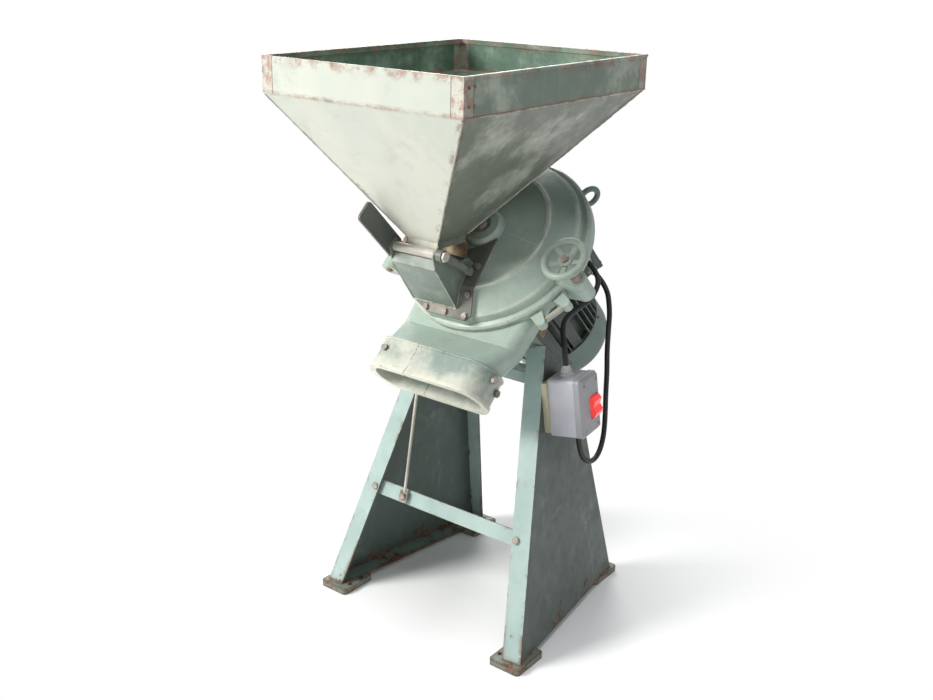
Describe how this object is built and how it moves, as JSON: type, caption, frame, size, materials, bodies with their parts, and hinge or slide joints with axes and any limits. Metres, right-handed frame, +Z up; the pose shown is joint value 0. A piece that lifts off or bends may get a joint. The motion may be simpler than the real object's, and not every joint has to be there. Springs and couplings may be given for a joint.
{
  "type": "electric grain mill",
  "caption": "Electric grain mill on a splayed sheet-steel stand, with a hopper over a tilted round mill head, a foot motor behind it and an outlet chute.",
  "frame": {"origin": "middle of the machine's outline, on the floor under the feet", "axes": "+Z up, the front of the machine with the hopper's spout and the outlet chute towards -Y, the handwheel and switch at +X"},
  "size_m": [0.5786, 0.8085, 1.25],
  "materials": {
    "stand_paint": "worn satin paint",
    "hopper_paint": "worn satin paint",
    "casting_paint": "worn satin paint over cast iron",
    "motor_paint": "satin paint",
    "dark_plate": "dark worn steel",
    "worn_steel": "worn and lightly rusted",
    "machined_steel": "machined",
    "fan_metal": "cast",
    "packing_wood": "raw",
    "switch_grey": "moulded",
    "spacer_beige": "moulded",
    "gland_grey": "moulded",
    "rocker_red": "glossy",
    "cable_black": "satin"
  },
  "bodies": {
    "stand": {"side_panel_left": "stand_paint", "side_panel_right": "stand_paint", "motor_bed": "stand_paint", "motor_rails": "stand_paint", "cross_bar": "stand_paint", "foot_plates": "stand_paint", "mill_housing": "casting_paint", "adapter_ring": "casting_paint", "outlet_collar": "casting_paint", "motor_frame": "motor_paint", "front_end_shield": "motor_paint", "rear_end_shield": "motor_paint", "fan_cowl": "motor_paint", "terminal_box": "motor_paint", "terminal_box_lid": "motor_paint", "cross_bar_bolts": "worn_steel", "stay_rod": "worn_steel", "stay_rod_clamp": "worn_steel", "eyebolt": "worn_steel", "flange_bolts": "worn_steel", "motor_foot_bolts": "worn_steel", "collar_bolts": "worn_steel", "hinge_pin": "worn_steel", "side_rod": "worn_steel", "screen_ring": "machined_steel", "front_bearing": "machined_steel", "rear_bearing": "machined_steel", "packing_block": "packing_wood", "switch_box": "switch_grey", "switch_lid": "switch_grey", "switch_spacer": "spacer_beige", "switch_glands": "gland_grey", "terminal_glands": "gland_grey", "motor_cable": "cable_black", "feed_cable": "cable_black"},
    "cover": {"mill_cover": "casting_paint", "liner_plate": "machined_steel", "centre_screw": "worn_steel", "feed_flange": "dark_plate", "feed_box": "hopper_paint", "feed_bolts": "worn_steel", "hopper_bracket": "hopper_paint", "hopper": "hopper_paint"},
    "clamp": {"handwheel": "casting_paint", "clamp_screw": "worn_steel"},
    "regulator": {"regulator_shaft": "worn_steel", "regulator_flap": "dark_plate", "regulator_handle": "dark_plate", "regulator_arm": "worn_steel"},
    "rotor": {"motor_shaft": "machined_steel", "rotor_core": "machined_steel", "cooling_fan": "fan_metal", "beater_hub": "machined_steel", "beater_cross": "machined_steel", "rotor_nut": "machined_steel"},
    "rocker": {"switch_rocker": "rocker_red"}
  },
  "joints": [
    {"name": "rotor_spin", "type": "hinge", "parent": "stand", "child": "rotor", "pos_m": [0, 0.17322, 0.7], "axis": [0, -0.7071, 0.7071], "continuous": true},
    {"name": "cover_swing", "type": "hinge", "parent": "stand", "child": "cover", "pos_m": [-0.242, 0.03887, 0.83435], "axis": [0, -0.7071, -0.7071], "range_deg": [0, 90]},
    {"name": "clamp_turn", "type": "hinge", "parent": "cover", "child": "clamp", "pos_m": [0.238, 0.00564, 0.80112], "axis": [0, -0.7071, 0.7071], "continuous": true},
    {"name": "regulator_tilt", "type": "hinge", "parent": "cover", "child": "regulator", "pos_m": [0, -0.19327, 0.862], "axis": [1, 0, 0], "range_deg": [0, 20]},
    {"name": "rocker_press", "type": "hinge", "parent": "stand", "child": "rocker", "pos_m": [0.26538, 0.04294, 0.5263], "axis": [-0.1373, 0.9905, 0], "range_deg": [-8, 8]}
  ]
}
